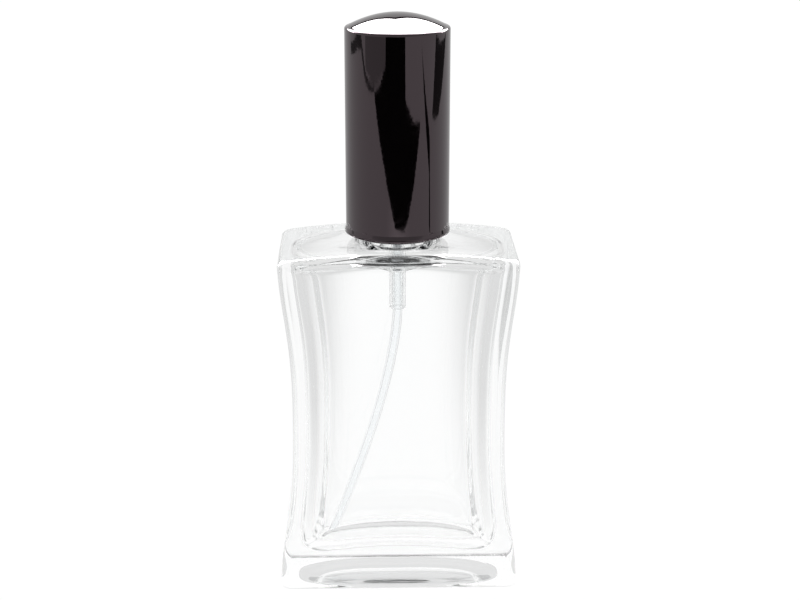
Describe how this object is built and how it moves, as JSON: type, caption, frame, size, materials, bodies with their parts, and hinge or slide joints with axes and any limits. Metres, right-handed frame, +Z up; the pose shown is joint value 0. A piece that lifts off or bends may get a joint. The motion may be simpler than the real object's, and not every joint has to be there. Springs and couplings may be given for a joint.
{
  "type": "aftershave bottle",
  "caption": "Waisted rectangular clear-glass aftershave bottle with a crimped spray pump, curved dip tube, black collar and tall black lift-off cap.",
  "frame": {"origin": "middle of the standing face, on the table", "axes": "+Z up along the neck and cap, +X along the bottle's width, the broad front faces -Y"},
  "size_m": [0.0486, 0.026, 0.117],
  "materials": {
    "clear_glass": "polished clear glass",
    "cap_black": "high gloss black",
    "collar_black": "gloss black anodised aluminium",
    "crimp_aluminium": "drawn bright",
    "gasket_elastomer": "off-white elastomer",
    "pump_translucent": "natural translucent polypropylene",
    "pump_white": "white moulded plastic",
    "tube_translucent": "natural translucent polyethylene",
    "spring_steel": "drawn stainless wire",
    "button_black": "gloss black anodised aluminium",
    "moulded_black": "black moulded plastic"
  },
  "bodies": {
    "bottle": {"bottle_glass": "clear_glass", "neck_gasket": "gasket_elastomer", "crimp_ferrule": "crimp_aluminium", "collar_sleeve": "collar_black", "pump_housing": "pump_translucent", "turret": "pump_white", "dip_tube": "tube_translucent", "return_spring": "spring_steel"},
    "ball": {"check_ball": "spring_steel"},
    "plunger": {"stem": "pump_white", "precompression_spring": "spring_steel"},
    "piston": {"piston": "pump_white"},
    "button": {"actuator_core": "moulded_black", "actuator_shell": "button_black", "spray_insert": "moulded_black"},
    "cap": {"cap_shell": "cap_black", "cap_liner": "moulded_black"}
  },
  "joints": [
    {"name": "cap_lift", "type": "slide", "parent": "bottle", "child": "cap", "axis": [0, 0, 1], "range_m": [0, 0.035]},
    {"name": "pump_stroke", "type": "slide", "parent": "bottle", "child": "plunger", "axis": [0, 0, -1], "range_m": [0, 0.0045], "stiffness_N_per_m": 800, "springref_m": -0.003, "deforming": ["return_spring"]},
    {"name": "button_turn", "type": "hinge", "parent": "plunger", "child": "button", "pos_m": [0, 0, 0.0892], "axis": [0, 0, 1], "continuous": true},
    {"name": "piston_slip", "type": "slide", "parent": "plunger", "child": "piston", "axis": [0, 0, 1], "range_m": [0, 0.0006], "stiffness_N_per_m": 1500, "springref_m": -0.001, "deforming": ["precompression_spring"]},
    {"name": "ball_lift", "type": "slide", "parent": "bottle", "child": "ball", "axis": [0, 0, 1], "range_m": [0, 0.0005]}
  ]
}
